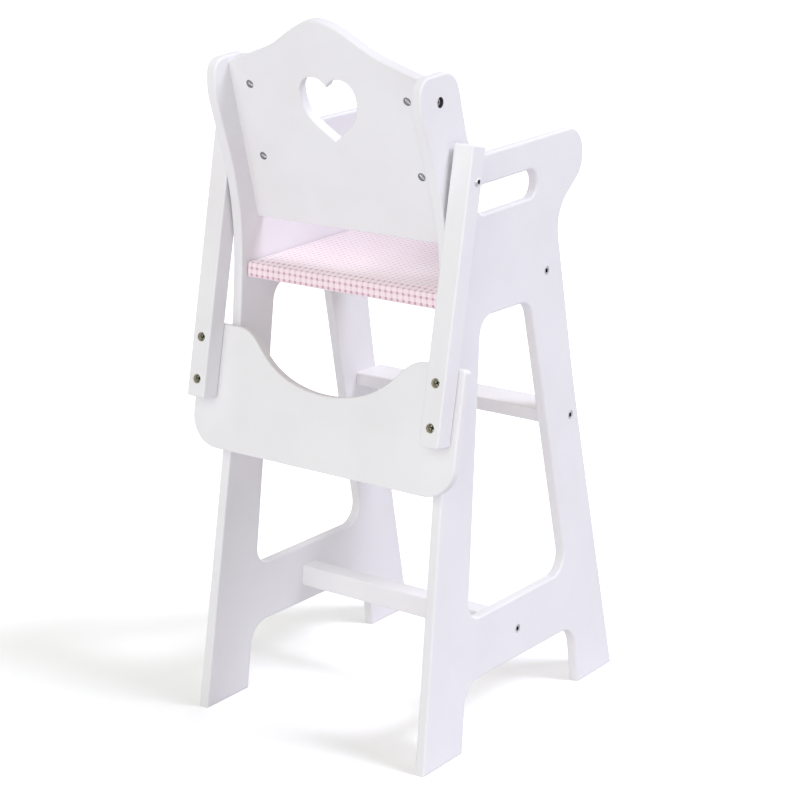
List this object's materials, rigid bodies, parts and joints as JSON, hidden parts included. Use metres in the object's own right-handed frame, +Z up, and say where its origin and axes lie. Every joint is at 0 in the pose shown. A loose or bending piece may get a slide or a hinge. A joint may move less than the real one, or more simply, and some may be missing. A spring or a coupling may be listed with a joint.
{
  "type": "doll high chair",
  "caption": "Wooden doll high chair with splayed scrolled sides, a heart cut in the back, a padded gingham seat, a footrest and a tray that swings over the back on arms.",
  "frame": {"origin": "on the floor, in the middle of the chair's width and of its whole depth", "axes": "+Z up, the chair faces -Y, +X is the sitter's left"},
  "size_m": [0.27, 0.3116, 0.6112],
  "materials": {
    "white_paint": "satin white paint",
    "bare_wood": "bare board",
    "foam": "thin foam sheet",
    "gingham": "pink and white gingham cotton",
    "zinc": "bright zinc plate",
    "spacer_plastic": "matt"
  },
  "bodies": {
    "frame": {"side_panel_left": "white_paint", "side_panel_right": "white_paint", "back_panel": "white_paint", "seat_board": "bare_wood", "seat_foam": "foam", "seat_cover": "gingham", "footrest": "white_paint", "stretcher": "white_paint", "pivot_bolt_left": "zinc", "pivot_bolt_right": "zinc", "pivot_spacer_left": "spacer_plastic", "pivot_spacer_right": "spacer_plastic", "ear_bolt_left": "zinc", "ear_bolt_right": "zinc", "barrel_nuts": "zinc", "seat_screws": "zinc", "footrest_screws": "zinc", "stretcher_screws": "zinc"},
    "tray": {"tray_board": "white_paint", "tray_arm_left": "white_paint", "tray_arm_right": "white_paint", "tray_screws": "zinc"}
  },
  "joints": [
    {"name": "tray_swing", "type": "hinge", "parent": "frame", "child": "tray", "pos_m": [0, 0.10799, 0.49162], "axis": [1, 0, 0], "range_deg": [0, 255.53]}
  ]
}
